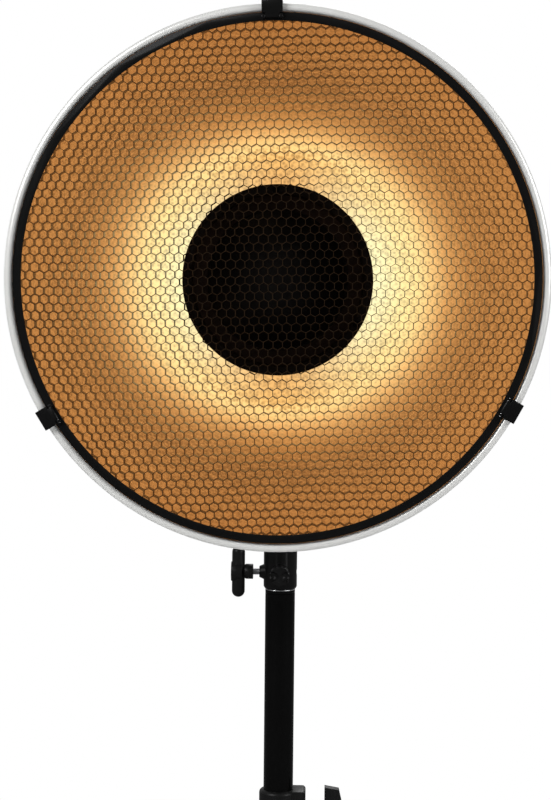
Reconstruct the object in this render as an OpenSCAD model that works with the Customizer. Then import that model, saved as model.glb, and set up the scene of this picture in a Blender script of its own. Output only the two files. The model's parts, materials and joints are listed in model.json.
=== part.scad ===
// Beauty-dish reflector with honeycomb grid, lamp head and low stand.
// The column stands at x = 0, y = 0 on the floor; the dish faces -Y and +Z is up.

/* [Dish] */
// Outside diameter over the rolled rim
dish_d = 420; // [400:2:430]
// Height of the dish's axis above the floor
axis_z = 723; // [700:1:760]
// Forward distance from the column's axis to the front of the rim
rim_f = 223; // [220:1:230]
// Forward distance to the back of the dish's floor
floor_f = 90; // [88:0.5:92]
// Radius of the flat floor around the throat
floor_r = 80; // [76:1:84]
// Sheet thickness
sheet_t = 1.5; // [1:0.1:2]
// Radius of the rolled rim's bead
bead_r = 3.4; // [3:0.1:3.6]
// Inside radius of the throat
throat_r = 58; // [56:1:60]

/* [Deflector] */
// Radius of the deflector plate
deflector_r = 74.5; // [74:0.5:78]
// Forward distance to the front of its flange
deflector_f = 196; // [190:1:200]
// Radius of the cap's bowl
cap_r = 54; // [50:1:58]
// Radius of the circle that the three rods stand on
rod_circle_r = 70; // [69:0.5:71]
// Turn of the rods, screws and clips from the right-hand side
first_angle = 91.5; // [88:0.5:95]

/* [Grid] */
// Inside radius of the ring's front lip
grid_in_r = 196.4; // [190:0.2:198]
// Depth of the ring
grid_depth = 14; // [12:1:18]
// Depth of the honeycomb
comb_depth = 11; // [8:1:12]
// Distance between cells of the coarse honeycomb
comb_pitch = 28.6; // [24:0.2:40]
// Wall between cells
comb_wall = 0.6; // [0.5:0.1:1.2]
// Width of a clip
clip_w = 16; // [12:1:20]

/* [Head] */
// Outside radius of the housing
head_r = 70; // [68:1:74]
// Forward distance to the back of the housing
head_back_f = -118; // [-140:1:-110]
// Height of the tilt pivot below the dish's axis
pivot_drop = 104; // [100:1:110]

/* [Receiver] */
// Outside diameter of the receiver
receiver_d = 29.6; // [28:0.1:32]
// Depth of its lower end below the dish's axis
receiver_drop = 273; // [270:1:280]
// Depth of the clamp knobs' axis below the dish's axis
knob_drop = 259; // [256:1:262]
// Diameter of the stand spigot
spigot_d = 16; // [15.8:0.1:16]
// Diameter of the hole for an umbrella shaft
umbrella_d = 8.2; // [8:0.1:10]

/* [Stand] */
// Outside diameter of the riser tube
riser_d = 26.4; // [26:0.1:26.4]
// Height of the clamp collar's top
collar_top_z = 268.4; // [264:0.1:280]
// Outside diameter of the lower tube
column_d = 30; // [29:0.5:32]
// Radius on which the legs are hinged
hinge_r = 36; // [35:0.5:40]
// Height of the leg hinges
hinge_z = 182; // [180:1:190]
// Slope of an open leg below the horizontal
leg_slope = 34.4; // [32:0.1:38]
// Outside diameter of a leg
leg_d = 16; // [14:0.5:16]

/* [Hidden] */
$fn = 96;
run = 0.05;
steps = 14;
clip_angles = [first_angle, first_angle + 120, first_angle + 240];
bead_mid_r = dish_d / 2 - bead_r;
wall_r = bead_mid_r - 2.3;
lip_f = rim_f - 18;
ring_r = bead_mid_r - bead_r - 0.4;
lug_deg = 35;
leg_len = (hinge_z - 11) / sin(leg_slope);
leg_angles = [-90, 30, 150];
column_r = column_d / 2;
riser_r = riser_d / 2;
pivot_z = axis_z - pivot_drop;
receiver_z = axis_z - receiver_drop;
receiver_r = receiver_d / 2;
knob_z = axis_z - knob_drop;
collar_knob_z = collar_top_z - 23;
umbrella_z = axis_z - 160;
tube_ring_r = 37;
tube_end_deg = 20;

// Puts a shape on the dish's axis: its x stays right, its y is up and its z is forward.
module on_axis() translate([0, 0, axis_z]) rotate([90, 0, 0]) children();

// A rod along X from x0 to x1.
module x_rod(r, x0, x1) translate([x0, 0, 0]) rotate([0, 90, 0]) cylinder(r = r, h = x1 - x0);

// A rod along the dish's axis from f0 to f1, inside on_axis().
module f_rod(r, f0, f1) translate([0, 0, f0]) cylinder(r = r, h = f1 - f0);

// A ring along the dish's axis.
module f_ring(r_in, r_out, f0, f1) difference() {
  f_rod(r_out, f0, f1);
  f_rod(r_in, f0 - 1, f1 + 1);
}

// A ring about Z.
module z_ring(r_in, r_out, z0, z1) translate([0, 0, z0]) difference() {
  cylinder(r = r_out, h = z1 - z0);
  translate([0, 0, -1]) cylinder(r = r_in, h = z1 - z0 + 2);
}

// Three copies, one behind each clip.
module at_rods(r = rod_circle_r) for (a = clip_angles) rotate([0, 0, a]) translate([r, 0, 0]) children();

// Quarter ellipse from the flat floor to the straight lip, as [radius, forward distance].
function bowl(r_lip, f_floor) = [for (i = [0:steps]) let (t = 90 * i / steps)
  [floor_r + (r_lip - floor_r) * sin(t), f_floor + (lip_f - f_floor) * (1 - cos(t))]];
function backwards(list) = [for (i = [len(list) - 1:-1:0]) list[i]];

module dish_shell() color("gainsboro") on_axis() difference() {
  union() {
    rotate_extrude() polygon(concat(
      [[throat_r, floor_f]], bowl(wall_r + sheet_t, floor_f), [[wall_r + sheet_t, rim_f - bead_r]],
      [[wall_r, rim_f - bead_r]], backwards(bowl(wall_r, floor_f + sheet_t)),
      [[throat_r, floor_f + sheet_t]]));
    rotate_extrude() translate([bead_mid_r, rim_f - bead_r]) circle(r = bead_r);
  }
  at_rods() f_rod(2.2, floor_f - 1, floor_f + sheet_t + 1);
}

module dish_mount_ring() color("dimgray") on_axis() difference() {
  union() {
    f_ring(throat_r, 82, 70, floor_f);
    for (i = [0:2]) rotate([0, 0, 90 - lug_deg / 2 + 120 * i])
      rotate_extrude(angle = lug_deg) translate([80, 76]) square([7.5, 5.5]);
  }
  at_rods() f_rod(2.2, 69, floor_f + 1);
  at_rods() f_rod(4.6, 69, 75);
}

// Flat flange, a step back to a warm-toned ring, and a hole that the cap closes.
module deflector_plate() color("darkslategray") on_axis() difference() {
  rotate_extrude() polygon([
    [cap_r - 1.5, deflector_f - 5], [deflector_r - 7.5, deflector_f - 5], [deflector_r - 6, deflector_f - 1.6],
    [deflector_r, deflector_f - 1.6], [deflector_r, deflector_f], [deflector_r - 7, deflector_f],
    [deflector_r - 8.5, deflector_f - 3.4], [cap_r - 1.5, deflector_f - 3.4]]);
  at_rods() f_rod(1.6, deflector_f - 6, deflector_f + 1);
}

// Concave cap: a dished disc with a rolled edge.
module deflector_cap() color("black") on_axis() rotate_extrude() polygon(concat(
  [for (i = [0:steps]) let (r = cap_r * i / steps) [r, deflector_f - 1 - 11 * (1 - pow(r / cap_r, 2))]],
  [[cap_r + 1, deflector_f - 1], [cap_r + 1, deflector_f - 3.4]],
  [for (i = [steps:-1:0]) let (r = (cap_r - 1.5) * i / steps)
    [r, deflector_f - 3.4 - 10.2 * (1 - pow(r / (cap_r - 1.5), 2))]]));

module deflector_rods() color("silver") on_axis() at_rods() {
  f_rod(2, 70.8, deflector_f - 5);
  f_rod(3.2, floor_f + sheet_t, floor_f + sheet_t + 3);
  f_rod(3.2, deflector_f - 14, deflector_f - 5);
}

module deflector_screws() color("black") on_axis() at_rods() {
  f_rod(1.5, deflector_f - 5, deflector_f);
  difference() {
    f_rod(2.8, deflector_f, deflector_f + 1.6);
    translate([0, 0, deflector_f + 0.8]) cylinder(r = 1.5, h = 2, $fn = 6);
  }
}

module rod_nuts() color("silver") on_axis() at_rods() difference() {
  translate([0, 0, 71.6]) cylinder(r = 4, h = 3.4, $fn = 6);
  f_rod(2.02, 70, 76);
}

// An L-section ring with an eared seat for each clip's pin.
module grid_ring() color("black") on_axis() {
  rotate_extrude() polygon([
    [grid_in_r, rim_f + 1.5], [ring_r, rim_f + 1.5], [ring_r, rim_f + 1.5 - grid_depth],
    [ring_r - 1.6, rim_f + 1.5 - grid_depth], [ring_r - 1.6, rim_f], [grid_in_r, rim_f]]);
  for (a = clip_angles, s = [-1, 1]) rotate([0, 0, a]) translate([ring_r - 3.2, s * (clip_w / 2 - 1.2), rim_f + 1.4])
    difference() {
      translate([-2, -1, 0]) cube([3.4, 2, 3.5]);
      translate([0, -2, 2]) rotate([-90, 0, 0]) cylinder(r = 0.8, h = 4);
    }
}

// Coarse honeycomb: pointed-top cells in a disc.
module honeycomb_grid() color("saddlebrown") on_axis() {
  f0 = rim_f - 1 - comb_depth;
  rows = floor(ring_r / (comb_pitch * 0.866)) + 1;
  cell_r = (comb_pitch - comb_wall) / sqrt(3);
  translate([0, 0, f0]) linear_extrude(comb_depth) difference() {
    circle(r = ring_r - 1.9);
    intersection() {
      circle(r = ring_r - 3.4);
      for (j = [-rows:rows], i = [-rows - 1:rows + 1])
        let (x = (i + (abs(j) % 2) / 2) * comb_pitch, y = j * comb_pitch * sqrt(3) / 2)
          if (norm([x, y]) < ring_r + cell_r / 4) translate([x, y]) rotate(30) circle(r = cell_r, $fn = 6);
    }
  }
}

// A hook over the rim: a plate in front of the bead, an outer wall and a hinge barrel.
module grid_clip(a) on_axis() rotate([0, 0, a]) difference() {
  union() {
    translate([ring_r - 3.2, -(clip_w / 2 - 2.5), rim_f + 3.4]) rotate([-90, 0, 0])
      cylinder(r = 1.7, h = clip_w - 5);
    translate([ring_r - 3.2, -(clip_w / 2 - 2.5), rim_f + 3.4]) cube([6, clip_w - 5, 1.7]);
    translate([ring_r - 0.9, -clip_w / 2, rim_f + 1.9]) cube([dish_d / 2 - ring_r + 2.5, clip_w, 3.2]);
    translate([dish_d / 2 + 0.3, -clip_w / 2, rim_f - 9]) cube([1.3, clip_w, 11]);
    translate([dish_d / 2 + 0.3, -clip_w / 2, rim_f - 9]) cube([2, clip_w, 1.6]);
  }
  translate([ring_r - 3.2, -clip_w, rim_f + 3.4]) rotate([-90, 0, 0]) cylinder(r = 0.85, h = 2 * clip_w);
}
module grid_clip_top() color("black") grid_clip(clip_angles[0]);
module grid_clip_left() color("black") grid_clip(clip_angles[1]);
module grid_clip_right() color("black") grid_clip(clip_angles[2]);

module clip_pins() color("silver") on_axis() for (a = clip_angles) rotate([0, 0, a])
  translate([ring_r - 3.2, -clip_w / 2, rim_f + 3.4]) rotate([-90, 0, 0]) cylinder(r = 0.8, h = clip_w);

// Fixed half of the bayonet: floor, wall and three inward tabs.
module bayonet_cup() color("dimgray") on_axis() difference() {
  union() {
    f_ring(57.5, 94, 64, 69.7);
    f_ring(89, 94, 69.7, 86);
    for (i = [0:2]) rotate([0, 0, 90 - lug_deg / 2 + 120 * i])
      rotate_extrude(angle = lug_deg) translate([83.5, 82.2]) square([6, 3.8]);
  }
  translate([0, 91.5, 78]) rotate([90, 0, 0]) translate([0, 0, -10]) cylinder(r = 2.55, h = 20);
}

module release_button() color("silver") on_axis() translate([0, 88.2, 78]) rotate([-90, 0, 0]) {
  cylinder(r = 2.5, h = 10);
  translate([0, 0, 8]) cylinder(r = 6, h = 4);
}

module lamp_plate() color("white") on_axis() difference() {
  f_rod(66, 60, 64);
  f_rod(17.5, 59, 67);
  for (s = [-1, 1]) rotate([0, 0, s * tube_end_deg - 90]) translate([tube_ring_r, 0, 0]) f_rod(4.6, 59, 67);
}

// Ring-shaped flash tube on two legs.
module flash_tube() color("lightyellow") on_axis() {
  rotate([0, 0, tube_end_deg - 90]) rotate_extrude(angle = 360 - 2 * tube_end_deg) translate([tube_ring_r, 84])
    circle(r = 4.5);
  for (s = [-1, 1]) rotate([0, 0, s * tube_end_deg - 90]) translate([tube_ring_r, 0, 0]) {
    f_rod(4.2, 56, 84);
    translate([0, 0, 84]) sphere(r = 4.8);
  }
}

module lamp_socket() color("white") on_axis() difference() {
  union() {
    f_rod(17.2, 40, 82);
    f_rod(19.5, 64, 67);
  }
  f_rod(13.2, 50, 83);
}

module lamp_bulb() color("ivory") on_axis() {
  f_rod(13, 52, 88);
  translate([0, 0, 88]) cylinder(r1 = 13, r2 = 19, h = 14);
  translate([0, 0, 114]) sphere(r = 23);
}

// Tube housing with cooling slots around its rear half.
module head_housing() color("black") on_axis() difference() {
  union() {
    f_rod(head_r, head_back_f, 64);
    f_rod(head_r + 2, head_back_f, head_back_f + 8);
    f_rod(head_r + 2, 54, 64);
  }
  f_rod(head_r - 2.6, head_back_f - 1, 65);
  for (i = [0:17]) rotate([0, 0, -35 + 250 / 17 * i]) translate([head_r - 6, -2.2, head_back_f + 24])
    cube([14, 4.4, 56]);
}

module rear_panel() color("dimgray") on_axis() difference() {
  f_rod(head_r - 2.9, head_back_f - 2, head_back_f + 4);
  translate([-24, 24, head_back_f - 3]) cylinder(r = 3.1, h = 8);
  translate([13.4, 16.9, head_back_f - 3]) cube([21.2, 14.2, 8]);
  translate([-14.2, -38.2, head_back_f - 3]) cube([28.4, 24.4, 8]);
  translate([34, -26, head_back_f - 3]) cylinder(r = 6.3, h = 8);
  for (i = [0:3]) rotate([0, 0, 45 + 90 * i]) translate([58, 0, head_back_f - 3]) cylinder(r = 1.7, h = 8);
}

module rear_screws() color("silver") on_axis() for (i = [0:3]) rotate([0, 0, 45 + 90 * i])
  translate([58, 0, 0]) {
    f_rod(1.65, head_back_f - 2, head_back_f + 10);
    f_rod(3.4, head_back_f - 4, head_back_f - 2);
  }

module power_switch() color("black") on_axis() translate([24, 24, head_back_f - 1]) rotate([0, 90, 0])
  difference() {
    intersection() {
      translate([0, 0, -10]) cylinder(r = 8, h = 20);
      translate([-4, -6.2, -10]) cube([12, 12.4, 20]);
    }
    translate([15.5, 0, -11]) cylinder(r = 12, h = 22);
  }

module power_dial() color("black") on_axis() translate([-24, 24, 0]) {
  f_rod(3, head_back_f - 8, head_back_f + 10);
  difference() {
    f_rod(13, head_back_f - 18, head_back_f - 3);
    for (i = [0:15]) rotate([0, 0, 22.5 * i]) translate([13.6, 0, head_back_f - 19]) cylinder(r = 1.3, h = 12);
    translate([-0.8, 4, head_back_f - 19]) cube([1.6, 8, 1.8]);
  }
}

// Three-pin inlet with its well and blades.
module mains_inlet() color("black") on_axis() translate([0, -26, 0]) {
  difference() {
    translate([-14, -12, head_back_f - 4]) cube([28, 24, 24]);
    translate([-12, -8.2, head_back_f - 5]) cube([24, 16.4, 19]);
  }
  for (p = [[-7, -2], [0, 2], [7, -2]]) translate([p[0] - 1, p[1] - 2, head_back_f]) cube([2, 4, 16]);
}

module fuse_cap() color("black") on_axis() translate([34, -26, 0]) difference() {
  union() {
    f_rod(6, head_back_f - 2, head_back_f + 22);
    f_rod(7.5, head_back_f - 7, head_back_f - 2);
  }
  translate([-6, -0.7, head_back_f - 8]) cube([12, 1.4, 2.5]);
}

// Tilt lug under the housing: a saddle that narrows to a round eye.
module head_foot() color("black") difference() {
  union() {
    translate([-13, 0, 0]) rotate([90, 0, 90]) linear_extrude(26) polygon([
      [-34, axis_z - 60], [34, axis_z - 60], [34, axis_z - 76], [15, pivot_z + 2], [13, pivot_z - 6],
      [-13, pivot_z - 6], [-15, pivot_z + 2], [-34, axis_z - 76]]);
    translate([0, 0, pivot_z]) x_rod(17, -13, 13);
  }
  on_axis() f_rod(head_r, -60, 60);
  translate([0, 0, pivot_z]) x_rod(4.05, -14, 14);
  for (s = [-1, 1]) translate([0, 24 * s, axis_z - 100]) {
    cylinder(r = 2.6, h = 40);
    cylinder(r = 5, h = 11.5);
  }
}

module foot_screws() color("silver") for (s = [-1, 1]) translate([0, 24 * s, 0]) {
  translate([0, 0, axis_z - 90]) cylinder(r = 2.5, h = 28);
  translate([0, 0, axis_z - 92.5]) cylinder(r = 4.4, h = 4, $fn = 6);
}

// Two ears on a round base.
module tilt_yoke() color("black") difference() {
  union() {
    for (s = [-1, 1]) translate([s * 17.1 - 3, 0, 0]) rotate([90, 0, 90]) linear_extrude(6) union() {
      translate([0, pivot_z]) circle(r = 17);
      translate([-17, axis_z - 132]) square([34, 132 - pivot_drop]);
    }
    translate([0, 0, axis_z - 140]) cylinder(r = 22, h = 15.5);
  }
  translate([0, 0, pivot_z]) x_rod(4, -30, 30);
}

module tilt_bolt() color("silver") translate([0, 0, pivot_z]) {
  x_rod(4, -20.5, 34);
  translate([-25.6, 0, 0]) rotate([0, 90, 0]) cylinder(r = 7, h = 5.5, $fn = 6);
}

module tilt_washers() color("dimgray") for (s = [-1, 1]) translate([0, 0, pivot_z]) difference() {
  x_rod(13, s * 13.6 - 0.45, s * 13.6 + 0.45);
  x_rod(4, s * 13.6 - 1, s * 13.6 + 1);
}

// Ratchet handle: a hub, an arm and a round grip.
module tilt_lever() color("black") translate([0, 0, pivot_z]) difference() {
  union() {
    x_rod(9, 20.6, 39.5);
    translate([32.8, 0, 0]) rotate([215, 0, 0]) cylinder(r1 = 5.5, r2 = 4, h = 52);
    translate([32.8, 0, 0]) rotate([215, 0, 0]) translate([0, 0, 52]) sphere(r = 6.5);
  }
  x_rod(4.05, 20, 34.5);
}

// Stand socket with clamp bosses, a spare tapped hole and the umbrella hole.
module receiver() color("black") difference() {
  union() {
    translate([0, 0, receiver_z]) cylinder(r1 = receiver_r - 0.8, r2 = receiver_r, h = 1.5);
    translate([0, 0, receiver_z + 1.5]) cylinder(r = receiver_r, h = receiver_drop - 141.5);
    translate([-18.6, 0, knob_z]) rotate([0, 90, 0]) cylinder(r1 = 5, r2 = 7.6, h = 6);
    translate([0, -17.6, knob_z]) rotate([-90, 0, 0]) cylinder(r1 = 5, r2 = 7, h = 6);
  }
  translate([0, 0, receiver_z - 1]) cylinder(r = spigot_d / 2 + run, h = 90);
  translate([0, 0, knob_z]) x_rod(3.05, -30, 0);
  translate([0, 0, knob_z]) x_rod(3.2, 0, 30);
  translate([0, -30, knob_z]) rotate([-90, 0, 0]) cylinder(r = 2.55, h = 30);
  translate([0, -30, umbrella_z]) rotate([-90, 0, 0]) cylinder(r = umbrella_d / 2, h = 60);
  translate([0, 0, umbrella_z]) x_rod(2.05, 0, 30);
}

// Capsule bar, oval pad and a coned hub; the hub starts at x = 0 and the bar lies beyond it.
module t_knob() {
  x_rod(6.7, 0, 6);
  translate([6, 0, 0]) rotate([0, 90, 0]) cylinder(r1 = 6.7, r2 = 5.4, h = 2.5);
  translate([13, 0, -17.25]) cylinder(r = 5.75, h = 34.5);
  for (s = [-1, 1]) translate([13, 0, 17.25 * s]) sphere(r = 5.75);
  x_rod(8.6, 10, 19.4);
}

module receiver_t_knob() color("black") translate([-24.3, 0, knob_z]) mirror([1, 0, 0]) difference() {
  t_knob();
  x_rod(3, -1, 9);
}

module receiver_stud() color("silver") translate([0, 0, knob_z]) x_rod(3, -33.3, -8.4);

// Round knob with two scoops beside a grip ridge, and its stud.
module lobed_knob() color("black") translate([0, -18, knob_z]) rotate([90, 0, 0]) {
  difference() {
    cylinder(r = 8.6, h = 11);
    for (s = [-1, 1]) translate([s * 6, 0, 12]) sphere(r = 4.6);
    for (i = [0:7]) rotate([0, 0, 22.5 + 45 * i]) translate([9.9, 0, -1]) cylinder(r = 2, h = 13);
  }
  translate([0, 0, -9.4]) cylinder(r = 2.5, h = 9.5);
}

module umbrella_screw() color("silver") translate([0, 0, umbrella_z]) {
  x_rod(2, 4.4, 17);
  difference() {
    x_rod(7.5, 16.5, 25);
    for (i = [0:17]) rotate([20 * i, 0, 0]) translate([16, 7.7, 0]) rotate([0, 90, 0]) cylinder(r = 0.7, h = 10);
  }
}

module spigot() color("silver") difference() {
  translate([0, 0, receiver_z - 30]) cylinder(r = spigot_d / 2, h = 115);
  z_ring(6.5, 9, knob_z - 8, knob_z + 8);
}

module riser_cap() color("dimgray") difference() {
  union() {
    translate([0, 0, receiver_z - 4.6]) cylinder(r = riser_r, h = 4);
    translate([0, 0, receiver_z - 30]) cylinder(r = riser_r - 1.55, h = 27);
  }
  translate([0, 0, receiver_z - 31]) cylinder(r = spigot_d / 2, h = 32);
}

module riser_tube() color("black") z_ring(riser_r - 1.5, riser_r, 75, receiver_z - 4.6);

module riser_bush() color("white") {
  translate([0, 0, 62]) cylinder(r = column_r - 1.58, h = 13);
  translate([0, 0, 75]) cylinder(r = riser_r - 1.55, h = 14);
}

// Collar with a rounded top, a screw boss on its right and a slotted skirt.
module clamp_collar() color("black") difference() {
  union() {
    rotate_extrude() union() {
      polygon([[0, collar_top_z - 50], [17, collar_top_z - 50], [17, collar_top_z - 3.4],
        [13.6, collar_top_z], [0, collar_top_z]]);
      translate([13.6, collar_top_z - 3.4]) circle(r = 3.4);
    }
    translate([0, 0, collar_knob_z]) x_rod(9, 10, 27);
    translate([8, -12, collar_top_z - 46]) cube([16.5, 24, 43]);
    translate([8, -12, collar_top_z - 3.5]) cube([13.5, 24, 3.5]);
    translate([21.5, 12, collar_top_z - 3]) rotate([90, 0, 0]) cylinder(r = 3, h = 24);
    z_ring(16, 19.2, collar_top_z - 50, collar_top_z - 44);
  }
  translate([0, 0, collar_top_z - 33]) cylinder(r = riser_r + run, h = 40);
  translate([0, 0, collar_top_z - 60]) cylinder(r = column_r, h = 28);
  translate([0, 0, collar_knob_z]) x_rod(3.05, 0, 30);
}

// Wing knob: a round hub and a flat tapered wing.
module collar_t_knob() color("black") translate([0, 0, collar_knob_z]) difference() {
  union() {
    x_rod(6.7, 34, 44);
    translate([0, 4.5, 0]) rotate([90, 0, 0]) linear_extrude(9) polygon([
      [41.5, 25.6], [54.3, 23.4], [58.5, 5], [58.5, -5], [54.3, -23.4], [41.5, -25.6]]);
  }
  x_rod(3, 32, 41);
}

module collar_stud() color("silver") translate([0, 0, collar_knob_z]) x_rod(3, riser_r + 0.4, 41);

module lower_tube() color("black") z_ring(column_r - 1.5, column_r, 50, collar_top_z - 32);

module column_cap() color("black") {
  translate([0, 0, 44]) cylinder(r = column_r + 1, h = 6);
  translate([0, 0, 50]) cylinder(r = column_r - 1.55, h = 8);
}

// Places a shape at a leg's hinge, with +X pointing outwards.
module at_leg(i) rotate([0, 0, leg_angles[i]]) translate([hinge_r, 0, hinge_z]) children();

module leg_hub() color("black") difference() {
  union() {
    z_ring(column_r, 25, hinge_z - 15, hinge_z + 15);
    for (i = [0:2], s = [-1, 1]) at_leg(i) translate([-14, s * 11.1 - 2.5, -11]) cube([14, 5, 22]);
    for (i = [0:2], s = [-1, 1]) at_leg(i) translate([0, s * 11.1 + 2.5, 0]) rotate([90, 0, 0])
      cylinder(r = 11, h = 5);
  }
  for (i = [0:2]) at_leg(i) translate([0, 20, 0]) rotate([90, 0, 0]) cylinder(r = 3, h = 40);
  for (i = [0:2]) at_leg(i) translate([-12.4, -8.6, -20]) cube([20, 17.2, 40]);
}

module leg_pins() color("silver") for (i = [0:2]) at_leg(i) {
  translate([0, 15.6, 0]) rotate([90, 0, 0]) cylinder(r = 3, h = 31.2);
  for (s = [-1, 1]) translate([0, s * 15.2 + 1.6, 0]) rotate([90, 0, 0]) cylinder(r = 5.2, h = 3.2);
}

// A tube on an eye, sloping outwards from the hinge.
module leg(i) color("black") at_leg(i) difference() {
  union() {
    rotate([0, 90 + leg_slope, 0]) cylinder(r = leg_d / 2, h = leg_len);
    translate([0, 8.1, 0]) rotate([90, 0, 0]) cylinder(r = 9, h = 16.2);
  }
  rotate([0, 90 + leg_slope, 0]) translate([0, 0, 30]) cylinder(r = leg_d / 2 - 1.4, h = leg_len);
  translate([0, 20, 0]) rotate([90, 0, 0]) cylinder(r = 3.05, h = 40);
}
module leg_front() leg(0);
module leg_right() leg(1);
module leg_left() leg(2);

// Rubber foot with a flat tread on the floor.
module foot(i) color("dimgray") difference() {
  at_leg(i) rotate([0, 90 + leg_slope, 0]) {
    translate([0, 0, leg_len]) sphere(r = 11.4);
    translate([0, 0, leg_len - 30]) cylinder(r = 10, h = 30);
  }
  at_leg(i) rotate([0, 90 + leg_slope, 0]) translate([0, 0, leg_len - 40]) cylinder(r = leg_d / 2, h = 40);
  translate([-400, -400, -20]) cube([800, 800, 20]);
}
module foot_front() foot(0);
module foot_right() foot(1);
module foot_left() foot(2);

dish_shell();
dish_mount_ring();
deflector_plate();
deflector_cap();
deflector_rods();
deflector_screws();
rod_nuts();
grid_ring();
honeycomb_grid();
grid_clip_top();
grid_clip_left();
grid_clip_right();
clip_pins();
bayonet_cup();
release_button();
lamp_plate();
flash_tube();
lamp_socket();
lamp_bulb();
head_housing();
rear_panel();
rear_screws();
power_switch();
power_dial();
mains_inlet();
fuse_cap();
head_foot();
foot_screws();
tilt_yoke();
tilt_bolt();
tilt_washers();
tilt_lever();
receiver();
receiver_t_knob();
receiver_stud();
lobed_knob();
umbrella_screw();
spigot();
riser_cap();
riser_tube();
riser_bush();
clamp_collar();
collar_t_knob();
collar_stud();
lower_tube();
column_cap();
leg_hub();
leg_pins();
leg_front();
leg_right();
leg_left();
foot_front();
foot_right();
foot_left();
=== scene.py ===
"""A beauty dish with its honeycomb grid, lamp head and low folding stand, finished piece by piece.

Everything is in metres in the frame's own axes: the dish faces -Y, +Z is up, and the column stands on
the origin. "Forward" is the distance along -Y from the column's axis.
"""
import json
import math

import bmesh
import bpy
import numpy as np
from mathutils import Matrix, Vector


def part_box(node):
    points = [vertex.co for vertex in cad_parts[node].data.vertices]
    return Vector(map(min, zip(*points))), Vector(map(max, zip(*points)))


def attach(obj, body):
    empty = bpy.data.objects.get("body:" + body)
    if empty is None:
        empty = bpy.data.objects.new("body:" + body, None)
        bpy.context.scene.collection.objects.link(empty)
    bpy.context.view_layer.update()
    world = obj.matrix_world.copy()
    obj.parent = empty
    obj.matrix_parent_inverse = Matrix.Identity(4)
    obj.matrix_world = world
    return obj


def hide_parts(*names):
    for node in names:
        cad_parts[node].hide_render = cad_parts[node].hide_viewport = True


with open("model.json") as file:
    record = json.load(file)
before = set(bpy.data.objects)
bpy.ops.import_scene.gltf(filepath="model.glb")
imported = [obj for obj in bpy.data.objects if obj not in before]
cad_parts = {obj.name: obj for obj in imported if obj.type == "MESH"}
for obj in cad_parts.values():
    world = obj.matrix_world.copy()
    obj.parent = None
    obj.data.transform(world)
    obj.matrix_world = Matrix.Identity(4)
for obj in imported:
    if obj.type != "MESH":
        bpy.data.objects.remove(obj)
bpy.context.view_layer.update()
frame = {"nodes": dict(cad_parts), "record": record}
nodes = frame["nodes"]
scene = bpy.context.scene
scene.view_settings.view_transform = "Standard"

# The viewpoint: level with the dish's axis and a step to its right, aimed a little below it, so that
# the dish fills the upper two thirds of the picture and the clamp collar's top meets the lower edge.
dish_low, dish_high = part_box("dish_shell")
axis_z = (dish_low[2] + dish_high[2]) / 2
rim_y = dish_low[1]
rim_centre = Vector((0, rim_y, axis_z))
view_distance, view_turn = 1.461, math.radians(1.5)
view_drop, view_roll = math.radians(3.60), math.radians(0.57)
camera = bpy.data.objects.new("viewpoint", bpy.data.cameras.new("viewpoint"))
camera.data.sensor_width = 36
camera.data.lens = 85.8
camera.location = rim_centre + view_distance * Vector((math.sin(view_turn), -math.cos(view_turn), 0))
aim = rim_centre - Vector((0, 0, view_distance * math.tan(view_drop)))
camera.rotation_mode = "QUATERNION"
camera.rotation_quaternion = (aim - camera.location).to_track_quat("-Z", "Y") @ Matrix.Rotation(
    view_roll, 4, "Z").to_quaternion()
scene.collection.objects.link(camera)
scene.camera = camera


# The studio: a pale floor that keeps the stand's shadow and runs out to plain white, a world that is dimmer
# in front of the object than behind it, and three large soft lamps. Mirror-like rays see the world at that
# working level and the floor darker than the camera does, which keeps black paint black.
def wired(tree, kind, **values):
    """A node of that kind with the given input values; a value that is a socket is linked."""
    node = tree.nodes.new(kind)
    for key, value in values.items():
        numbered = key[0] == "i" and key[1:].isdigit()
        target = node.inputs[int(key[1:])] if numbered else node.inputs[key.replace("_", " ")]
        if isinstance(value, bpy.types.NodeSocket):
            tree.links.new(value, target)
        else:
            target.default_value = value
    return node


def maths(tree, operation, first, second, clamp=False):
    """One Math node's output."""
    node = wired(tree, "ShaderNodeMath", i0=first, i1=second)
    node.operation = operation
    node.use_clamp = clamp
    return node.outputs[0]


world = bpy.data.worlds.new("studio")
scene.world = world
world.use_nodes = True
tree = world.node_tree
tree.nodes.clear()
rays = tree.nodes.new("ShaderNodeLightPath")
seen = maths(tree, "MAXIMUM", rays.outputs["Is Camera Ray"], rays.outputs["Is Transmission Ray"])
ways = tree.nodes.new("ShaderNodeTexCoord").outputs["Generated"]
behind = wired(tree, "ShaderNodeSeparateXYZ", Vector=ways).outputs["Y"]
front_level, back_level = 0.13, 0.48
level = wired(tree, "ShaderNodeMapRange", Value=behind, From_Min=-0.45, From_Max=0.55, To_Min=front_level,
              To_Max=back_level)
ambient = wired(tree, "ShaderNodeBackground", Color=(1, 1, 1, 1), Strength=level.outputs[0])
white = wired(tree, "ShaderNodeBackground", Color=(1, 1, 1, 1), Strength=1.0)
mixed = wired(tree, "ShaderNodeMixShader", i0=seen, i1=ambient.outputs[0], i2=white.outputs[0])
wired(tree, "ShaderNodeOutputWorld", Surface=mixed.outputs[0])

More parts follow.
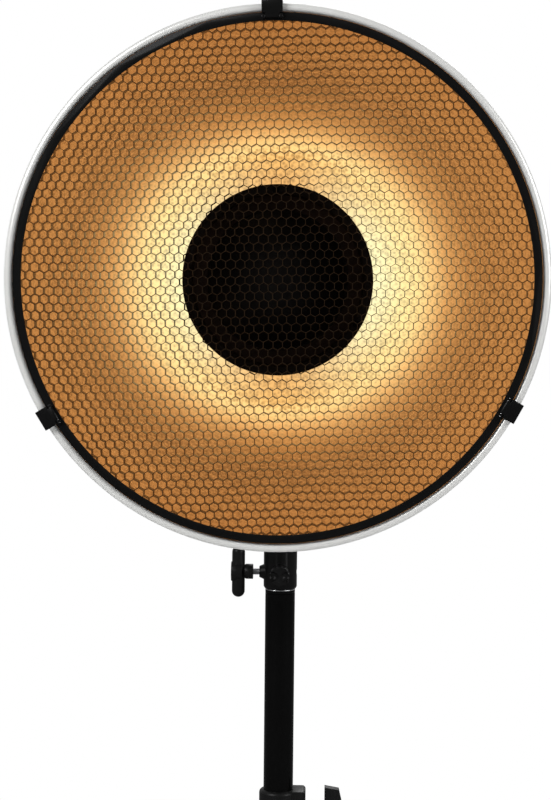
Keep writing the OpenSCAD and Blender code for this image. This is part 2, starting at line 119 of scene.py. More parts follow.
floor_half, fade_start, fade_end = 12.0, 0.45, 0.95
floor_tone, floor_tone_in_gloss = 0.86, 0.22
floor = bpy.data.objects.new("floor", bpy.data.meshes.new("floor"))
floor.data.from_pydata([(-floor_half, -floor_half, 0), (floor_half, -floor_half, 0),
                        (floor_half, floor_half, 0), (-floor_half, floor_half, 0)], [], [(0, 1, 2, 3)])
scene.collection.objects.link(floor)
paint = bpy.data.materials.new("pale_floor")
paint.use_nodes = True
tree = paint.node_tree
tree.nodes.clear()
place = tree.nodes.new("ShaderNodeTexCoord").outputs["Object"]
away = wired(tree, "ShaderNodeVectorMath", i0=place)
away.operation = "LENGTH"
fade = wired(tree, "ShaderNodeMapRange", Value=away.outputs["Value"], From_Min=fade_start, From_Max=fade_end)
rays = tree.nodes.new("ShaderNodeLightPath")
shade = wired(tree, "ShaderNodeMapRange", Value=rays.outputs["Is Glossy Ray"], To_Min=floor_tone,
              To_Max=floor_tone_in_gloss)
matt = wired(tree, "ShaderNodeBsdfDiffuse", Color=shade.outputs[0])
plain = wired(tree, "ShaderNodeEmission", Color=(1, 1, 1, 1), Strength=1.0)
far = maths(tree, "MULTIPLY", fade.outputs[0], rays.outputs["Is Camera Ray"])
mixed = wired(tree, "ShaderNodeMixShader", i0=far, i1=matt.outputs[0], i2=plain.outputs[0])
wired(tree, "ShaderNodeOutputMaterial", Surface=mixed.outputs[0])
floor.data.materials.append(paint)


def soft_lamp(name, place, size, power):
    """A square area lamp aimed at the middle of the stand."""
    lamp = bpy.data.objects.new(name, bpy.data.lights.new(name, "AREA"))
    lamp.data.size = size
    lamp.data.energy = power
    lamp.location = place
    lamp.rotation_mode = "QUATERNION"
    lamp.rotation_quaternion = (Vector((0, 0, 0.5)) - lamp.location).to_track_quat("-Z", "Y")
    scene.collection.objects.link(lamp)


soft_lamp("key", Vector((-1.7, -1.9, 2.0)), 1.3, 56)
soft_lamp("fill", Vector((2.1, -1.2, 1.3)), 1.2, 28)
soft_lamp("back", Vector((0.6, 2.2, 2.1)), 1.4, 20)


# The bowl: one sheet of spun aluminium with a rolled rim. Its inside has a gold hammered finish, and the
# light of the lamp behind the deflector on it is painted in as an emitted glow. The rolled rim is bright
# silver, and the back is silver-grey.
def surface_grain():
    """Node group: broad and fine noise on Object coordinates give a colour between two tones, a roughness
    and a height."""
    group = bpy.data.node_groups.new("surface_grain", "ShaderNodeTree")
    for name, kind, value in (("Light", "NodeSocketColor", (1, 1, 1, 1)),
                              ("Dark", "NodeSocketColor", (0, 0, 0, 1)),
                              ("Grain Scale", "NodeSocketFloat", 900.0),
                              ("Smooth", "NodeSocketFloat", 0.3),
                              ("Rough", "NodeSocketFloat", 0.5)):
        group.interface.new_socket(name, in_out="INPUT", socket_type=kind).default_value = value
    for name, kind in (("Color", "NodeSocketColor"), ("Roughness", "NodeSocketFloat"),
                       ("Height", "NodeSocketFloat")):
        group.interface.new_socket(name, in_out="OUTPUT", socket_type=kind)
    given = group.nodes.new("NodeGroupInput")
    made = group.nodes.new("NodeGroupOutput")
    place = group.nodes.new("ShaderNodeTexCoord").outputs["Object"]
    broad = wired(group, "ShaderNodeTexNoise", Vector=place, Scale=14.0, Detail=4.0)
    fine = wired(group, "ShaderNodeTexNoise", Vector=place, Scale=given.outputs["Grain Scale"], Detail=3.0)
    blotch = wired(group, "ShaderNodeMapRange", Value=broad.outputs["Fac"], From_Min=0.35, From_Max=0.65)
    shade = maths(group, "MULTIPLY", blotch.outputs[0], 0.6)
    speck = maths(group, "MULTIPLY", fine.outputs["Fac"], 0.4)
    amount = maths(group, "ADD", shade, speck, clamp=True)
    colour = wired(group, "ShaderNodeMix")
    colour.data_type = "RGBA"
    group.links.new(amount, colour.inputs[0])
    group.links.new(given.outputs["Light"], colour.inputs[6])
    group.links.new(given.outputs["Dark"], colour.inputs[7])
    gloss = wired(group, "ShaderNodeMapRange", Value=amount, To_Min=given.outputs["Smooth"],
                  To_Max=given.outputs["Rough"])
    group.links.new(colour.outputs[2], made.inputs["Color"])
    group.links.new(gloss.outputs[0], made.inputs["Roughness"])
    group.links.new(fine.outputs["Fac"], made.inputs["Height"])
    return group


grain = surface_grain()


def finish(name, light, dark, smooth, rough, metal=0.0, scale=900.0, bump=0.15, coat=0.0, shine=0.5):
    """A surface with grain: two tones, a spread of roughness, and a bump 0.2 mm deep at that strength."""
    material = bpy.data.materials.new(name)
    material.use_nodes = True
    tree = material.node_tree
    skin = tree.nodes["Principled BSDF"]
    grained = tree.nodes.new("ShaderNodeGroup")
    grained.node_tree = grain
    for key, value in (("Light", (*light, 1)), ("Dark", (*dark, 1)), ("Grain Scale", scale),
                       ("Smooth", smooth), ("Rough", rough)):
        grained.inputs[key].default_value = value
    tree.links.new(grained.outputs["Color"], skin.inputs["Base Color"])
    tree.links.new(grained.outputs["Roughness"], skin.inputs["Roughness"])
    relief = wired(tree, "ShaderNodeBump", Strength=bump, Distance=0.0002, Height=grained.outputs["Height"])
    tree.links.new(relief.outputs[0], skin.inputs["Normal"])
    skin.inputs["Metallic"].default_value = metal
    skin.inputs["Specular IOR Level"].default_value = shine
    skin.inputs["Coat Weight"].default_value = coat
    skin.inputs["Coat Roughness"].default_value = 0.08
    return material


def tidy_mesh(piece):
    """Merges doubles, points the faces outwards and smooths all but the sharp edges."""
    merge, sharp = 1e-6, math.radians(38)
    work = bmesh.new()
    work.from_mesh(piece.data)
    bmesh.ops.remove_doubles(work, verts=work.verts, dist=merge)
    bmesh.ops.dissolve_degenerate(work, dist=merge, edges=work.edges)
    bmesh.ops.recalc_face_normals(work, faces=work.faces)
    work.to_mesh(piece.data)
    work.free()
    piece.data.polygons.foreach_set("use_smooth", np.ones(len(piece.data.polygons), dtype=bool))
    piece.data.set_sharp_from_angle(angle=sharp)


def grid_surface(name, points, materials, closed=False, row_material=None):
    """A mesh over a grid of points, rows by columns: quads join each row to the next, and each column to
    the next and round to the first. A closed grid joins its last row to its first as well."""
    rows, columns = points.shape[:2]
    row_ids = np.arange(rows if closed else rows - 1)
    column_ids = np.arange(columns)
    r, c = np.meshgrid(row_ids, column_ids, indexing="ij")
    r2, c2 = (r + 1) % rows, (c + 1) % columns
    quads = np.stack([r * columns + c, r * columns + c2, r2 * columns + c2, r2 * columns + c], axis=-1)
    mesh = bpy.data.meshes.new(name)
    mesh.from_pydata(points.reshape(-1, 3).tolist(), [], quads.reshape(-1, 4).tolist())
    for material in materials:
        mesh.materials.append(material)
    if row_material is not None:
        of_face = np.repeat(row_material[row_ids], columns).astype(np.int32)
        mesh.polygons.foreach_set("material_index", of_face)
    piece = bpy.data.objects.new(name, mesh)
    scene.collection.objects.link(piece)
    tidy_mesh(piece)
    return piece


def turned(name, profile, materials, around=192, closed=True, row_material=None):
    """A profile of (radius, forward) pairs carried round the dish's axis: the radius times the cosine and the
    sine of the angle."""
    angle = np.linspace(0, 2 * math.pi, around, endpoint=False)
    radius, forward = profile[:, 0][:, None], profile[:, 1][:, None]
    points = np.stack([radius * np.cos(angle), -forward + 0 * angle, axis_z + radius * np.sin(angle)],
                      axis=-1)
    return grid_surface(name, points, materials, closed=closed, row_material=row_material)


def quarter_bowl(floor_radius, lip_radius, floor_forward, lip_forward, count):
    """Quarter ellipse from the flat floor to the straight lip: the radius grows by the sine, and the depth
    by one less the cosine."""
    t = np.linspace(0, math.pi / 2, count)
    return np.stack([floor_radius + (lip_radius - floor_radius) * np.sin(t),
                     floor_forward + (lip_forward - floor_forward) * (1 - np.cos(t))], axis=1)


def arc(centre_radius, centre_forward, radius, start, end, count):
    """Points on a circle in the (radius, forward) plane."""
    t = np.radians(np.linspace(start, end, count))
    return np.stack([centre_radius + radius * np.cos(t), centre_forward + radius * np.sin(t)], axis=1)


rim_f, sheet, throat, floor_r, floor_f = -rim_y, 0.0015, 0.058, 0.080, 0.090
bead, outer_r = 0.0034, (dish_high[0] - dish_low[0]) / 2
bead_mid = outer_r - bead
wall_r = bead_mid - 0.0023
lip_f = rim_f - 0.018


def ramp(tree, value, stops):
    """A colour ramp with the given stops."""
    node = wired(tree, "ShaderNodeValToRGB", Fac=value)
    marks = node.color_ramp.elements
    while len(marks) < len(stops):
        marks.new(0.5)
    for mark, (position, colour) in zip(marks, stops):
        mark.position = position
        mark.color = (*colour, 1)
    return node.outputs[0]


def gold_with_painted_glow():
    """Hammered gold: facets by Voronoi and noise, and a painted glow (emission) that stands in for the lamp's
    light:
    it falls with the distance from the lamp, reaches further to the two sides than up and down, and sparkles
    on the facets."""
    material = bpy.data.materials.new("gold_hammered_painted_glow")
    material.use_nodes = True
    tree = material.node_tree
    skin = tree.nodes["Principled BSDF"]
    place = tree.nodes.new("ShaderNodeTexCoord").outputs["Object"]
    centred = wired(tree, "ShaderNodeMapping", Vector=place, Location=(0, 0, -axis_z)).outputs[0]
    flat = wired(tree, "ShaderNodeVectorMath", i0=centred, i1=(1, 0, 1))
    flat.operation = "MULTIPLY"
    reach = wired(tree, "ShaderNodeVectorMath", i0=flat.outputs[0])
    reach.operation = "LENGTH"
    unit = wired(tree, "ShaderNodeVectorMath", i0=flat.outputs[0])
    unit.operation = "NORMALIZE"
    across = wired(tree, "ShaderNodeSeparateXYZ", Vector=unit.outputs[0]).outputs["X"]
    side = maths(tree, "POWER", maths(tree, "ABSOLUTE", across, 0.0), 1.6)
    pebble = wired(tree, "ShaderNodeTexVoronoi", Vector=place, Scale=330.0)
    rough_grain = wired(tree, "ShaderNodeTexNoise", Vector=place, Scale=520.0, Detail=3.0)
    pitted = maths(tree, "MULTIPLY", rough_grain.outputs["Fac"], 0.9)
    mottle = maths(tree, "ADD", pebble.outputs["Distance"], pitted)
    wobble = maths(tree, "MULTIPLY", maths(tree, "SUBTRACT", mottle, 0.85), 0.010)
    along = wired(tree, "ShaderNodeMapRange", Value=maths(tree, "ADD", reach.outputs["Value"], wobble),
                  From_Min=0.075, From_Max=0.205).outputs[0]
    # Painted light: the lamp's light on the gold is an emitted colour by distance from the axis, one ramp for
    # the sides and one for the top and bottom.
    painted_light_sides = ramp(tree, along, (
        (0.05, (0.95, 0.88, 0.50)), (0.22, (0.95, 0.76, 0.34)), (0.31, (0.95, 0.70, 0.29)),
        (0.40, (0.85, 0.52, 0.19)), (0.50, (0.59, 0.29, 0.09)), (0.62, (0.37, 0.165, 0.048)),
        (0.75, (0.27, 0.117, 0.034)), (1.0, (0.24, 0.105, 0.031))))
    painted_light_top_bottom = ramp(tree, along, (
        (0.05, (0.72, 0.40, 0.14)), (0.22, (0.80, 0.45, 0.14)), (0.29, (0.92, 0.60, 0.22)),
        (0.36, (0.80, 0.43, 0.14)), (0.43, (0.55, 0.25, 0.07)), (0.52, (0.36, 0.15, 0.040)),
        (0.65, (0.235, 0.098, 0.028)), (1.0, (0.20, 0.084, 0.024))))
    glow = wired(tree, "ShaderNodeMix")
    glow.data_type = "RGBA"
    for target, source in ((0, side), (6, painted_light_top_bottom), (7, painted_light_sides)):
        tree.links.new(source, glow.inputs[target])
    tree.links.new(glow.outputs[2], skin.inputs["Emission Color"])
    # Painted sparkle: the glow is stronger on some facets than on others.
    painted_sparkle = wired(tree, "ShaderNodeMapRange", Value=mottle, From_Min=0.55, From_Max=1.15, To_Min=0.72,
                    To_Max=1.26)
    tree.links.new(painted_sparkle.outputs[0], skin.inputs["Emission Strength"])
    tint = ramp(tree, mottle, ((0.35, (0.20, 0.11, 0.045)), (0.95, (0.34, 0.20, 0.09))))
    tree.links.new(tint, skin.inputs["Base Color"])
    skin.inputs["Metallic"].default_value = 1.0
    skin.inputs["Roughness"].default_value = 0.5
    relief = wired(tree, "ShaderNodeBump", Strength=0.7, Distance=0.0008, Height=mottle)
    tree.links.new(relief.outputs[0], skin.inputs["Normal"])
    return material


silver_coat = finish("silver_powder_coat", (0.86, 0.86, 0.84), (0.80, 0.80, 0.78), 0.26, 0.34, metal=0.3,
                     scale=1500, bump=0.02, shine=0.3)
outside_coat = finish("silver_grey_outside", (0.40, 0.40, 0.40), (0.32, 0.32, 0.325), 0.30, 0.42, metal=0.5,
                      scale=1500, bump=0.06, shine=0.3)
inside = quarter_bowl(floor_r, wall_r, floor_f + sheet, lip_f, 56)
outside = quarter_bowl(floor_r, wall_r + sheet, floor_f, lip_f, 40)
roll = arc(bead_mid, rim_f - bead, bead, 155, -140, 28)
profile = np.concatenate([[[throat, floor_f + sheet]], inside, [[wall_r, rim_f - 2 * bead]], roll,
                          [[wall_r + sheet, rim_f - 2 * bead - 0.0012]], outside[::-1], [[throat, floor_f]]])
row = np.arange(len(profile))
gold_rows, silver_rows = len(inside) - 2, len(inside) + 15
coat_rows = np.where(row < gold_rows, 0, np.where(row < silver_rows, 1, 2))
bowl = turned("dish_bowl", profile, [gold_with_painted_glow(), silver_coat, outside_coat], around=256,
              row_material=coat_rows)
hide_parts("dish_shell")
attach(bowl, "dish")


# The mount ring behind the bowl's floor is satin black, and twists into the lamp head's bayonet.
body_of_node = {node: body for body, members in frame["record"]["behaviour"]["bodies"].items()
                for node in members}


def painted(node, material):
    """Gives a carried-over part its finish."""
    carried = nodes[node]
    carried.data.materials.clear()
    carried.data.materials.append(material)


def eased(node, material, width):
    """A copy of a painted part with its doubles merged, its flats joined and its sharp edges rounded to the
    given width, as moulded and machined parts leave the tool."""
    painted(node, material)
    mesh = nodes[node].data.copy()
    work = bmesh.new()
    work.from_mesh(mesh)
    bmesh.ops.remove_doubles(work, verts=work.verts, dist=2e-6)
    bmesh.ops.dissolve_limit(work, angle_limit=math.radians(0.5), verts=work.verts, edges=work.edges)
    work.to_mesh(mesh)
    work.free()
    mesh.polygons.foreach_set("use_smooth", np.ones(len(mesh.polygons), dtype=bool))
    piece = bpy.data.objects.new(node + "_eased", mesh)
    scene.collection.objects.link(piece)
    edge = piece.modifiers.new("eased", "BEVEL")
    edge.width = width
    edge.segments = 2
    edge.limit_method = "ANGLE"
    edge.angle_limit = math.radians(32)
    edge.harden_normals = True
    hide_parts(node)
    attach(piece, body_of_node[node])


satin_black = finish("satin_black_paint", (0.005, 0.005, 0.005), (0.0025, 0.0025, 0.0025), 0.28, 0.40,
                     scale=1400, bump=0.15, shine=0.14)
eased("dish_mount_ring", satin_black, 0.0006)


# The honeycomb: strips of thin dark foil glued in stripes and pulled open, so its rows wander a little.
# It is cut to a disc and pressed into the ring behind its front lip.
comb_low, comb_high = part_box("honeycomb_grid")
cell_pitch, foil_thickness, comb_radius, comb_turn = 0.0072, 0.00033, 0.2010, math.radians(1.2)


def comb_walls(pitch, foil, radius, turn):
    """Outlines of the walls of pointed-top cells: each cell gives its right, upper right and upper left
    wall, cut where it crosses the disc's edge. An outline is the wall's line made as thick as the foil."""
    corner = pitch / math.sqrt(3)
    count = int(radius / pitch) + 3
    i, j = np.meshgrid(np.arange(-count, count + 1), np.arange(-count - 4, count + 5), indexing="ij")
    centre = np.stack([(i + (j % 2) / 2) * pitch, j * pitch * math.sqrt(3) / 2], axis=-1).reshape(-1, 1, 2)
    bearing = np.radians([-30, 30, 90, 150])
    corners = centre + corner * np.stack([np.cos(bearing), np.sin(bearing)], axis=-1)
    starts, ends = corners[:, :3].reshape(-1, 2), corners[:, 1:].reshape(-1, 2)

    def wander(p):
        """Pulls each corner aside by slow waves across the disc and a small quick one."""
        x, y = p[:, 0], p[:, 1]
        dx = 0.0007 * np.sin(23 * y + 1.1) + 0.00030 * np.sin(211 * x + 97 * y)
        dy = 0.0011 * np.sin(17 * x + 0.4) + 0.00035 * np.sin(163 * y - 121 * x)
        c, s = math.cos(turn), math.sin(turn)
        return np.stack([c * x - s * y + dx, s * x + c * y + dy], axis=1)

    starts, ends = wander(starts), wander(ends)
    a, b = np.hypot(*starts.T), np.hypot(*ends.T)
    keep = (a < radius) | (b < radius)
    starts, ends, a, b = starts[keep], ends[keep], a[keep], b[keep]
    cut_end = ((radius - a) / np.where(b > radius, b - a, 1))[:, None]
    cut_start = ((radius - b) / np.where(a > radius, a - b, 1))[:, None]
    new_ends = np.where((b > radius)[:, None], starts + (ends - starts) * cut_end, ends)
    new_starts = np.where((a > radius)[:, None], ends + (starts - ends) * cut_start, starts)
    along = new_ends - new_starts
    length = np.hypot(*along.T)
    keep = length > 1e-4
    new_starts, new_ends, along = new_starts[keep], new_ends[keep], along[keep] / length[keep][:, None]
    beside = np.stack([-along[:, 1], along[:, 0]], axis=1) * foil / 2
    return np.stack([new_starts - beside, new_ends - beside, new_ends + beside, new_starts + beside], axis=1)


def boxes_between(name, outlines, back, front, material):
    """Boxes on four-point outlines (x right, y up), from the back to the front forward distance."""
    flat = outlines.reshape(-1, 2)
    layers = [np.stack([flat[:, 0], np.full(len(flat), -forward), axis_z + flat[:, 1]], axis=1)
              for forward in (back, front)]
    count = len(flat)
    first = np.arange(0, count, 4)[:, None]
    sides = [np.concatenate([first + k, first + (k + 1) % 4, first + (k + 1) % 4 + count, first + k + count],
                            axis=1) for k in range(4)]
    ends = [first + np.array([3, 2, 1, 0]), first + np.array([0, 1, 2, 3]) + count]
    mesh = bpy.data.meshes.new(name)
    mesh.from_pydata(np.concatenate(layers).tolist(), [], np.concatenate(sides + ends).tolist())
    mesh.materials.append(material)
    piece = bpy.data.objects.new(name, mesh)
    scene.collection.objects.link(piece)
    return piece


# The foil's warm brown tone is a painted reflection of the gold bowl's light on dark foil.
foil_painted_warm_reflection = finish("dark_foil_painted_warm_reflection", (0.12, 0.070, 0.036), (0.06, 0.035, 0.018), 0.30, 0.45, metal=0.85,
                     scale=700)
walls = comb_walls(cell_pitch, foil_thickness, comb_radius, comb_turn)
comb = boxes_between("honeycomb", walls, -comb_high[1], -comb_low[1], foil_painted_warm_reflection)
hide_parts("honeycomb_grid")
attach(comb, "grid")


# The grid's ring and clips: a black metal ring holds the honeycomb, and three sprung clips on steel pins
# hold it inside the rim.
steel = finish("turned_steel", (0.66, 0.66, 0.67), (0.5, 0.5, 0.51), 0.22, 0.38, metal=1.0,
               scale=800, bump=0.08)
eased("grid_ring", satin_black, 0.0003)
for side in ("top", "left", "right"):
    eased("grid_clip_" + side, satin_black, 0.0006)
painted("clip_pins", steel)


# The deflector: a spun disc on three steel rods with nuts. Its flange is dark grey, a step leads down to a
# ring painted brown as a warm reflection, and a satin black dished cap, painted lighter towards its middle as
# a reflection, closes the middle.
plate_low, plate_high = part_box("deflector_plate")
face_f, plate_r = -plate_low[1], (plate_high[0] - plate_low[0]) / 2
hollow_low, hollow_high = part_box("deflector_cap")
cap_edge = (hollow_high[0] - hollow_low[0]) / 2


def hollow_black_painted_reflection():
    """Satin black paint, lighter in the middle by a painted reflection: its tone falls to a quarter with the
    distance from the hollow's middle.
    """
    material = finish("cap_black_painted_reflection", (0.060, 0.054, 0.048), (0.044, 0.039, 0.034), 0.26, 0.36, scale=1300,
                      bump=0.12, shine=0.4)
    tree = material.node_tree
    place = wired(tree, "ShaderNodeMapping", Vector=tree.nodes.new("ShaderNodeTexCoord").outputs["Object"],
                  Location=(0, 0, -axis_z), Scale=(1, 0, 1)).outputs[0]
    reach = wired(tree, "ShaderNodeVectorMath", i0=place)
    reach.operation = "LENGTH"
    # Painted reflection: the base colour is lightest in the hollow's middle and falls to a quarter towards
    # its edge.
    painted_reflection_tone = wired(tree, "ShaderNodeMapRange", Value=reach.outputs["Value"], From_Min=0.006, From_Max=0.036,
                 To_Min=1.0, To_Max=0.25)
    skin = tree.nodes["Principled BSDF"]
    toned = wired(tree, "ShaderNodeVectorMath", i0=skin.inputs["Base Color"].links[0].from_socket)
    toned.operation = "SCALE"
    tree.links.new(painted_reflection_tone.outputs[0], toned.inputs["Scale"])
    tree.links.new(toned.outputs[0], skin.inputs["Base Color"])
    return material


flange_grey = finish("flange_grey", (0.060, 0.045, 0.034), (0.040, 0.030, 0.022), 0.42, 0.55, scale=1300,
                     bump=0.2, shine=0.3)
# The ring's brown is a painted warm reflection on the dark disc.
ring_painted_warm_reflection = finish("ring_painted_warm_reflection", (0.090, 0.044, 0.020), (0.060, 0.028, 0.013), 0.42, 0.55, scale=1300,
                    bump=0.2, shine=0.3)
front_edge = arc(plate_r - 0.0008, face_f - 0.0008, 0.0008, 90, -90, 9)[::-1]
step = np.array([[plate_r - 0.0066, face_f], [plate_r - 0.0072, face_f - 0.0004],
                 [plate_r - 0.0084, face_f - 0.0032], [plate_r - 0.0090, face_f - 0.0034]])
ring_in, ring_f, back_f = cap_edge - 0.0024, face_f - 0.0034, face_f - 0.005
behind = [[ring_in, back_f], [plate_r - 0.0075, back_f], [plate_r - 0.0058, face_f - 0.0016]]
plate_profile = np.concatenate([behind, front_edge, step, [[ring_in, ring_f]]])
warm_reflection_rows = np.zeros(len(plate_profile), dtype=int)
warm_reflection_rows[-3:-1] = 1
plate = turned("deflector_disc", plate_profile, [flange_grey, ring_painted_warm_reflection], around=128,
               row_material=warm_reflection_rows)
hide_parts("deflector_plate")
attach(plate, "dish")
reach = np.linspace(0.0, cap_edge - 0.0012, 30)
dip = 0.011 * (1 - (reach / reach[-1]) ** 2)
hollow = np.stack([reach, face_f - 0.001 - dip], axis=1)
lip = arc(cap_edge - 0.0010, face_f - 0.0020, 0.0010, 100, -80, 9)
back = np.stack([reach[::-1] * 0.972, face_f - 0.0034 - 0.927 * dip[::-1]], axis=1)
cap = turned("deflector_bowl", np.concatenate([hollow, lip, back]), [hollow_black_painted_reflection()], around=128,
             closed=False)
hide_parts("deflector_cap")
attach(cap, "dish")
painted("deflector_rods", steel)
painted("rod_nuts", steel)
painted("deflector_screws", satin_black)


# The lamps: a frosted pear-shaped modelling bulb with a screw base in a ceramic socket, and around it the
# ring-shaped flash tube on a ceramic plate. Both glow, and light the back of the deflector and the rods.
def glowing_glass(name, colour, strength):
    """Frosted glass lit from inside: slow noise on Object coordinates gives the glow two tones."""
    material = bpy.data.materials.new(name)
    material.use_nodes = True
    tree = material.node_tree
    skin = tree.nodes["Principled BSDF"]
    place = tree.nodes.new("ShaderNodeTexCoord").outputs["Object"]
    frost = wired(tree, "ShaderNodeTexNoise", Vector=place, Scale=60.0, Detail=4.0)
    tone = ramp(tree, frost.outputs["Fac"], ((0.35, colour), (0.65, tuple(0.82 * c for c in colour))))
    tree.links.new(tone, skin.inputs["Emission Color"])
    skin.inputs["Emission Strength"].default_value = strength
    skin.inputs["Base Color"].default_value = (0.95, 0.93, 0.88, 1)
    skin.inputs["Roughness"].default_value = 0.25
    fine = wired(tree, "ShaderNodeTexNoise", Vector=place, Scale=900.0)
    relief = wired(tree, "ShaderNodeBump", Strength=0.1, Distance=0.0002, Height=fine.outputs["Fac"])
    tree.links.new(relief.outputs[0], skin.inputs["Normal"])
    return material


bulb_low, bulb_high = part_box("lamp_bulb")
bulb_tip, bulb_back, bulb_r = -bulb_low[1], -bulb_high[1], (bulb_high[0] - bulb_low[0]) / 2
base_r, base_length = 0.0128, 0.026
base_turns, tooth = 7, 0.0006
turns = np.linspace(0, base_turns, 113)
base = np.stack([base_r - tooth + tooth * np.cos(2 * math.pi * turns),
                 bulb_back + base_length * turns / base_turns], axis=1)
t = np.linspace(0, 1, 24)
neck_f, globe_f = bulb_back + 0.032, bulb_tip - bulb_r
swell = np.stack([base_r + (bulb_r * 0.94 - base_r) * (3 * t ** 2 - 2 * t ** 3),
                  neck_f + (globe_f - 0.008 - neck_f) * t], axis=1)
globe = arc(0.0, globe_f, bulb_r, -20, 90, 24)
bulb_profile = np.concatenate([[[0.0, bulb_back]], base, swell, globe])
glass_rows = np.where(np.arange(len(bulb_profile)) < len(base) + 1, 0, 1)
bulb_glass = glowing_glass("bulb_glass", (1.0, 0.86, 0.58), 3.0)
bulb = turned("modelling_bulb", bulb_profile, [steel, bulb_glass], around=64, closed=False,
              row_material=glass_rows)
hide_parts("lamp_bulb")
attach(bulb, "head")
painted("flash_tube", glowing_glass("tube_glass", (1.0, 0.90, 0.70), 1.2))
ceramic = finish("glazed_ceramic", (0.88, 0.87, 0.84), (0.80, 0.79, 0.75), 0.15, 0.3, scale=200, bump=0.05,
                 coat=0.4)
painted("lamp_plate", ceramic)
painted("lamp_socket", ceramic)


# The lamp head: a vented black housing with a grey bayonet cup in front and a grey panel behind, which four
# steel screws hold. The panel carries the moulded switch, dial, mains inlet and fuse cap.
dark_grey = finish("dark_grey_paint", (0.040, 0.040, 0.042), (0.026, 0.026, 0.028), 0.36, 0.48, scale=1300,
                   bump=0.2, shine=0.35)
moulded_black = finish("moulded_black_plastic", (0.008, 0.008, 0.008), (0.004, 0.004, 0.004), 0.32, 0.46,
                       scale=1700, bump=0.25, shine=0.18)
eased("head_housing", satin_black, 0.0006)
eased("bayonet_cup", dark_grey, 0.0010)
eased("release_button", steel, 0.0006)
eased("rear_panel", dark_grey, 0.0006)
painted("rear_screws", steel)
eased("power_dial", moulded_black, 0.0006)
eased("power_switch", moulded_black, 0.0005)
eased("fuse_cap", moulded_black, 0.0006)
eased("mains_inlet", moulded_black, 0.0006)


# The dial's scale: a ring of white tick marks printed on the rear panel, with a longer one at every fifth.
def middle(node, axis):
    """The middle of a node's box along one axis."""
    low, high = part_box(node)
    return (low[axis] + high[axis]) / 2


panel_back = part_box("rear_panel")[1][1]
dial_x, dial_z = middle("power_dial", 0), middle("power_dial", 2)
tick_count, tick_in, tick_out, tick_half, tick_extra = 11, 0.0155, 0.0185, 0.00045, 0.0015
sweep = np.radians(np.linspace(-130, 130, tick_count) + 90)
reach = tick_out + tick_extra * (np.arange(tick_count) % 5 == 0)
beside = tick_half * np.stack([-np.sin(sweep), np.cos(sweep)], axis=1)
ray = np.stack([np.cos(sweep), np.sin(sweep)], axis=1)
centre = np.array([dial_x, dial_z - axis_z])
inner, outer = centre + ray * tick_in, centre + ray * reach[:, None]
tick_outlines = np.stack([inner + beside, outer + beside, outer - beside, inner - beside], axis=1)
white_print = finish("white_print", (0.80, 0.80, 0.78), (0.70, 0.70, 0.68), 0.45, 0.6, scale=1500)
ticks = boxes_between("dial_ticks", tick_outlines[:, ::-1], -panel_back - 0.0002, -panel_back + 0.0004,
                      white_print)
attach(ticks, "head")


# The bracket: a black foot screwed under the head tilts in a yoke, on a bolt with pressed fibre washers that
# a lever tightens. Below it the receiver slips over the spigot, and a T-knob clamps it with a threaded stud.
fibre = finish("pressed_fibre", (0.18, 0.13, 0.09), (0.10, 0.07, 0.05), 0.7, 0.85, scale=1600, bump=0.4)
eased("head_foot", satin_black, 0.0012)
painted("foot_screws", steel)
eased("tilt_yoke", satin_black, 0.0012)
painted("tilt_bolt", steel)
painted("tilt_washers", fibre)
eased("tilt_lever", moulded_black, 0.0008)
eased("receiver", satin_black, 0.0005)
eased("receiver_t_knob", moulded_black, 0.0012)
eased("lobed_knob", moulded_black, 0.0008)
eased("umbrella_screw", steel, 0.0004)


def threaded(name, start, end, radius, pitch, material):
    """A stud from start to end as one helical surface: the radius follows a clipped triangle wave along it,
    turned once per pitch, and the thread runs out at both ends."""
    across = 40
    start, end = Vector(start), Vector(end)
    length = (end - start).length
    rings = int(length / pitch * 10)
    along = np.linspace(0, length, rings)[:, None]
    angle = np.linspace(0, 2 * math.pi, across, endpoint=False)[None, :]
    phase = (along / pitch + angle / (2 * math.pi)) % 1.0
    tooth = np.clip(np.abs(phase * 2 - 1) * 1.3 - 0.15, 0, 1)
    taper = np.clip(np.minimum(along, length - along) / pitch, 0, 1)
    depth = radius * 0.17
    r = radius - depth + depth * tooth * taper
    turn = np.array((end - start).to_track_quat("Z", "Y").to_matrix())
    local = np.stack([r * np.cos(angle), r * np.sin(angle), along + 0 * angle], axis=-1)
    near_end = np.zeros((1, across, 3))
    far_end = near_end + (0, 0, length)
    local = np.concatenate([near_end, local, far_end])
    return grid_surface(name, local @ turn.T + np.array(start), [material])


def threaded_stud(node, body):
    """Puts a stud with a 1 mm pitch thread in the place of a plain one that lies along X."""
    low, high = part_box(node)
    height = middle(node, 2)
    stud = threaded(node + "_thread", (low[0], 0, height), (high[0], 0, height), (high[2] - low[2]) / 2,
                    0.001, steel)
    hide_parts(node)
    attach(stud, body)


threaded_stud("receiver_stud", "bracket_knob")


# The column: a gloss black riser tube with a steel spigot on top slides through a nylon bush in the lower
# tube. The moulded collar clamps it with a wing knob on a threaded stud.
gloss_black = finish("gloss_black_paint", (0.003, 0.003, 0.003), (0.0015, 0.0015, 0.0015), 0.12, 0.20,
                     scale=300, bump=0.03, shine=0.09)
nylon = finish("natural_nylon", (0.78, 0.78, 0.74), (0.68, 0.68, 0.64), 0.4, 0.55, scale=900)
painted("spigot", steel)
eased("riser_cap", gloss_black, 0.0009)
painted("riser_tube", gloss_black)
painted("riser_bush", nylon)
painted("lower_tube", gloss_black)
eased("clamp_collar", moulded_black, 0.0008)
eased("collar_t_knob", moulded_black, 0.0012)
threaded_stud("collar_stud", "collar_knob")


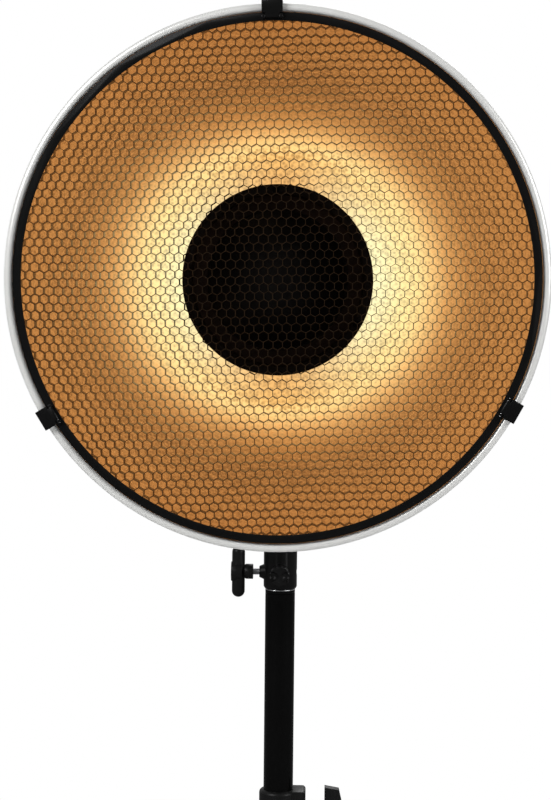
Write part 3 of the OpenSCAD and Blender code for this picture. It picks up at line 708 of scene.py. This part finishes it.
# The riser's cap: a black turned collar whose upper edge is bare bright metal under the receiver.
cap_low, cap_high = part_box("riser_cap")
round_r, edge_r = (cap_high[0] - cap_low[0]) / 2, 0.00055
around, across = np.meshgrid(np.linspace(0, 2 * math.pi, 96, endpoint=False),
                             np.linspace(0, 2 * math.pi, 12, endpoint=False), indexing="ij")
reach = round_r - edge_r * 0.7 + edge_r * np.cos(across)
edge_points = np.stack([reach * np.cos(around), reach * np.sin(around),
                        cap_high[2] - edge_r + edge_r * np.sin(across)], axis=-1)
edge_ring = grid_surface("cap_bright_edge", edge_points, [steel], closed=True)
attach(edge_ring, "riser")


# The legs: three gloss black tubes hinged on steel pins in a black hub. A rubber cap closes the column.
rubber = finish("black_rubber", (0.035, 0.035, 0.035), (0.022, 0.022, 0.022), 0.62, 0.8, scale=1100,
                bump=0.3)
eased("leg_hub", satin_black, 0.0008)
eased("column_cap", rubber, 0.0012)
painted("leg_pins", steel)
for side in ("front", "right", "left"):
    painted("leg_" + side, gloss_black)


# The rubber feet: moulded sleeves pushed over the leg ends, with four ribs for grip and a rounded nose
# that is flat where it stands on the floor.
leg_slope, hinge_r, hinge_z = math.radians(34.4), 0.036, 0.182
tip_z, nose_r, sleeve_length = 0.011, 0.0114, 0.030


def foot_surface(name, node, leg_node, body):
    """A ribbed profile carried round the leg's axis, with everything under the floor pressed flat onto it."""
    low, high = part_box(leg_node)
    side = Vector(((low[0] + high[0]) / 2, (low[1] + high[1]) / 2, 0))
    outward = Vector((round(side.x, 3), round(side.y, 3), 0)).normalized()
    drop = hinge_z - tip_z
    tip = outward * (hinge_r + drop / math.tan(leg_slope)) + Vector((0, 0, tip_z))
    along = outward * math.cos(leg_slope) - Vector((0, 0, math.sin(leg_slope)))
    mouth = np.array([[0.0081, -sleeve_length], [0.0094, -sleeve_length]])
    t = np.linspace(0, 1, 60)
    ribs = np.clip(np.sin(2 * math.pi * 4 * t) * 1.6, -1, 1)
    sleeve = np.stack([0.0098 + 0.0006 * ribs, -0.029 + 0.022 * t], axis=1)
    end = arc(0.0, 0.0, nose_r, -33, 90, 22)
    profile = np.concatenate([mouth, sleeve, end])
    around = 56
    angle = np.linspace(0, 2 * math.pi, around, endpoint=False)
    across = along.cross(Vector((0, 0, 1))).normalized()
    up = across.cross(along)
    points = (np.array(tip) + profile[:, 1][:, None, None] * np.array(along)
              + profile[:, 0][:, None, None] * (np.cos(angle)[None, :, None] * np.array(across)
                                                + np.sin(angle)[None, :, None] * np.array(up)))
    points[..., 2] = np.maximum(points[..., 2], 0.0)
    inner = np.array(tip) - sleeve_length * np.array(along) + np.zeros((1, around, 3))
    piece = grid_surface(name, np.concatenate([inner, points]), [rubber])
    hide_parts(node)
    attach(piece, body)


for side in ("front", "right", "left"):
    foot_surface("ribbed_foot_" + side, "foot_" + side, "leg_" + side, side + "_leg")
